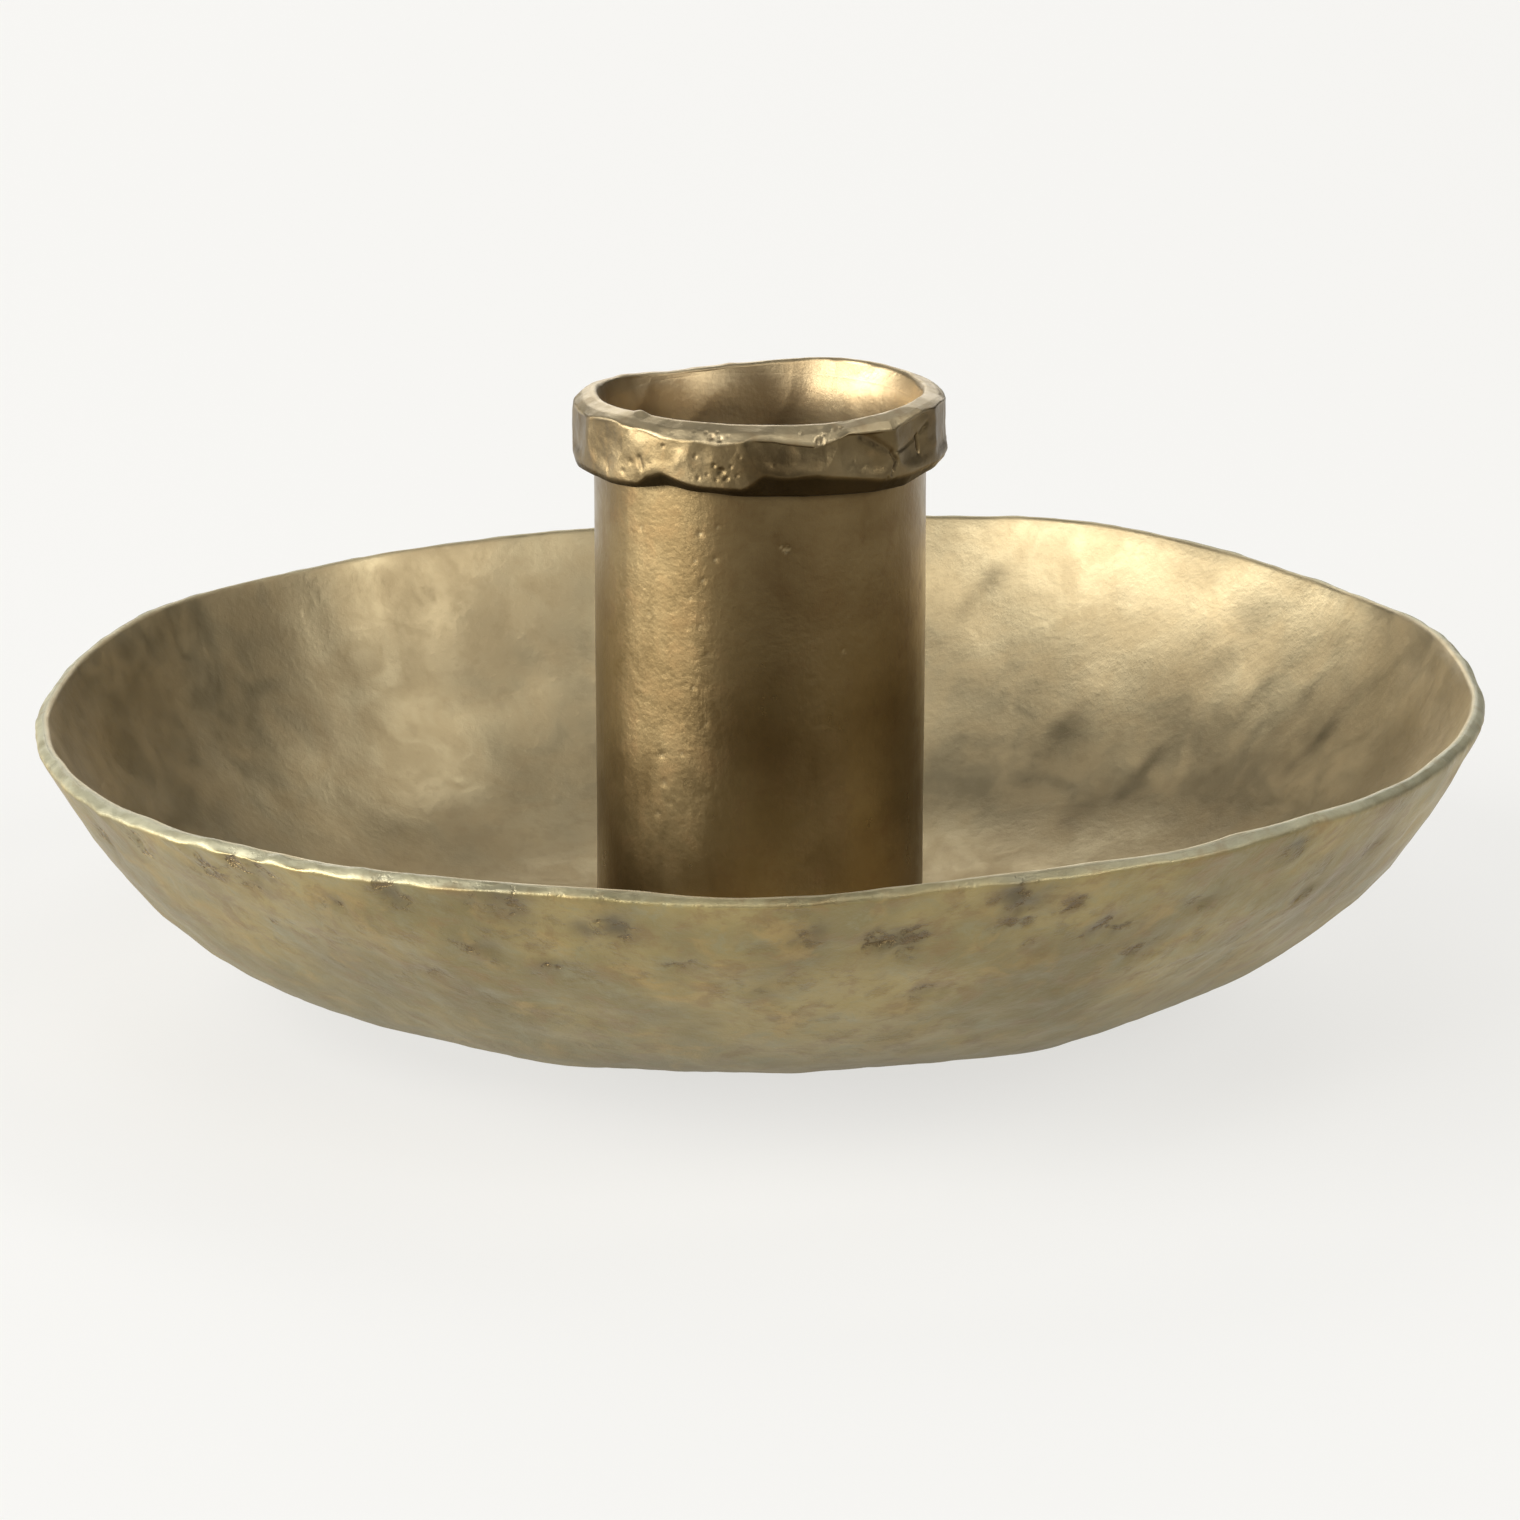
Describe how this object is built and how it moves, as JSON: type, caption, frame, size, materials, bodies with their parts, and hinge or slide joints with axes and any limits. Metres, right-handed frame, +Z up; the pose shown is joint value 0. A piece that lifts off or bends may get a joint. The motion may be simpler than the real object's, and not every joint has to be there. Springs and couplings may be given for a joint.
{
  "type": "candle holder",
  "caption": "Hand-hammered shallow dish with a central tube socket and hammered collar, holding a dinner candle upright and catching its wax.",
  "frame": {"origin": "on the socket's axis, at the underside of the felt disc that the holder stands on", "axes": "+Z up along the candle socket, +X to the right and -Y towards the viewer; the collar's lapped ends face right and front"},
  "size_m": [0.1115, 0.1116, 0.0488],
  "materials": {
    "dish_brass": "hammered, antiqued satin brass with olive patina and worn bright high spots",
    "tube_brass": "satin dark antique bronze-brass with fine pits",
    "collar_brass": "hammered antique bronze-brass with bright rubbed edges and pits",
    "plug_brass": "turned brass, dulled",
    "screw_steel": "zinc-plated steel",
    "base_felt": "pressed wool felt, dark brown"
  },
  "bodies": {
    "root": {"dish": "dish_brass", "cup_tube": "tube_brass", "rim_collar": "collar_brass", "cup_floor": "plug_brass", "fixing_screw": "screw_steel", "washer": "screw_steel", "felt_disc": "base_felt"}
  },
  "joints": []
}
